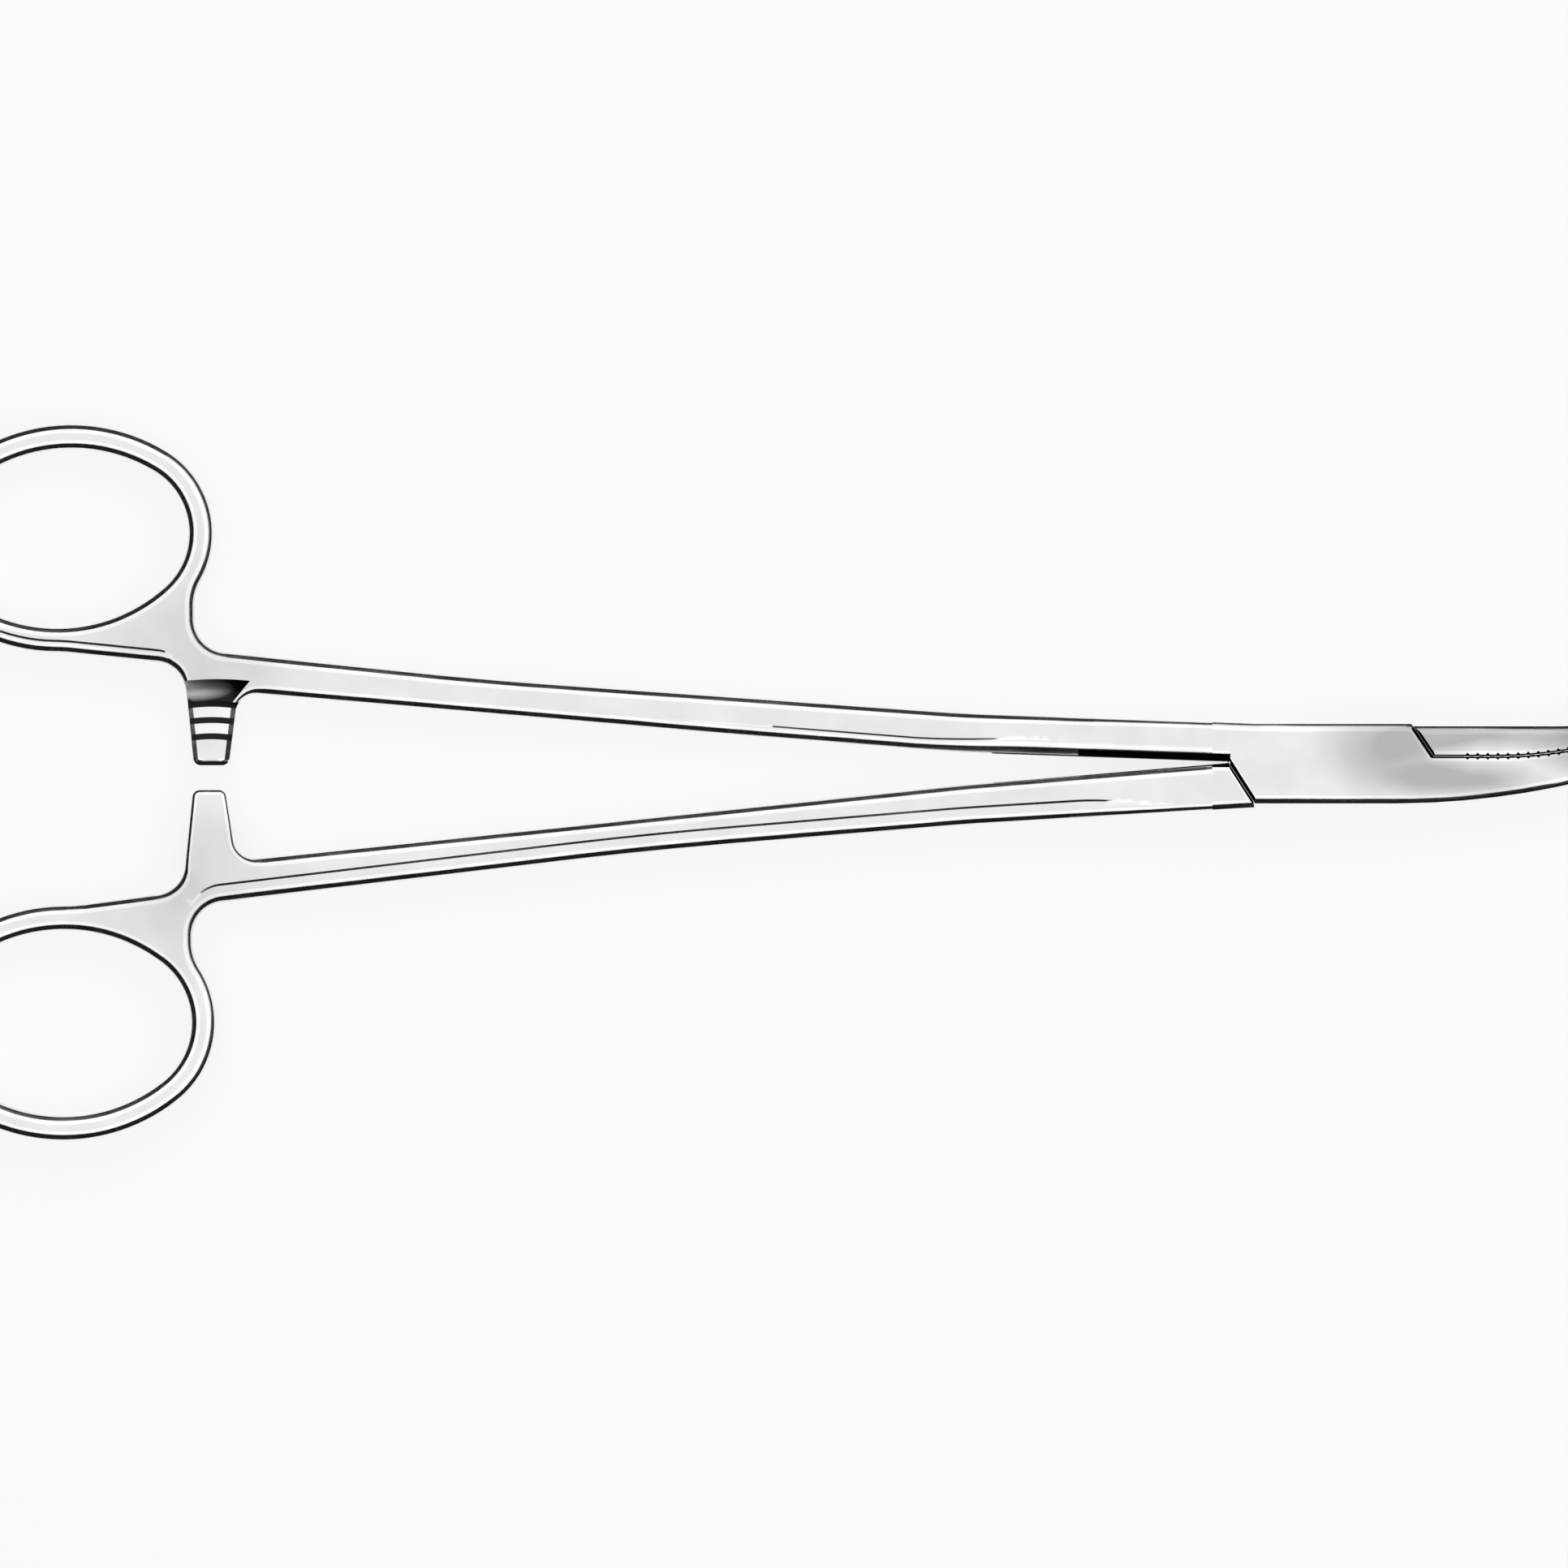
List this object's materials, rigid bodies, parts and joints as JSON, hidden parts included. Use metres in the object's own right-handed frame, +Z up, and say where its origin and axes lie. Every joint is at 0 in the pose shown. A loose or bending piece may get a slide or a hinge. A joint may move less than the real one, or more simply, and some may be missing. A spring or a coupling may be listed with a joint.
{
  "type": "needle holder",
  "caption": "Slender needle holder with a box lock, curved serrated jaws, oval finger rings and ratchet arms.",
  "frame": {"origin": "on the pivot axis, in the flat underside of the box lock", "axes": "+X from the finger rings to the jaw tips, +Y across the rings to the ring of the box half, +Z up along the pivot axis"},
  "size_m": [0.2108, 0.0846, 0.0066],
  "materials": {
    "steel": "satin",
    "pin_steel": "satin"
  },
  "bodies": {
    "box_body": {"box_half": "steel", "pivot_pin": "pin_steel"},
    "tongue_body": {"tongue_half": "steel"}
  },
  "joints": [
    {"name": "box_lock_hinge", "type": "hinge", "parent": "box_body", "child": "tongue_body", "pos_m": [0, 0, 0.0033], "axis": [0, 0, 1], "range_deg": [0, 40]}
  ]
}
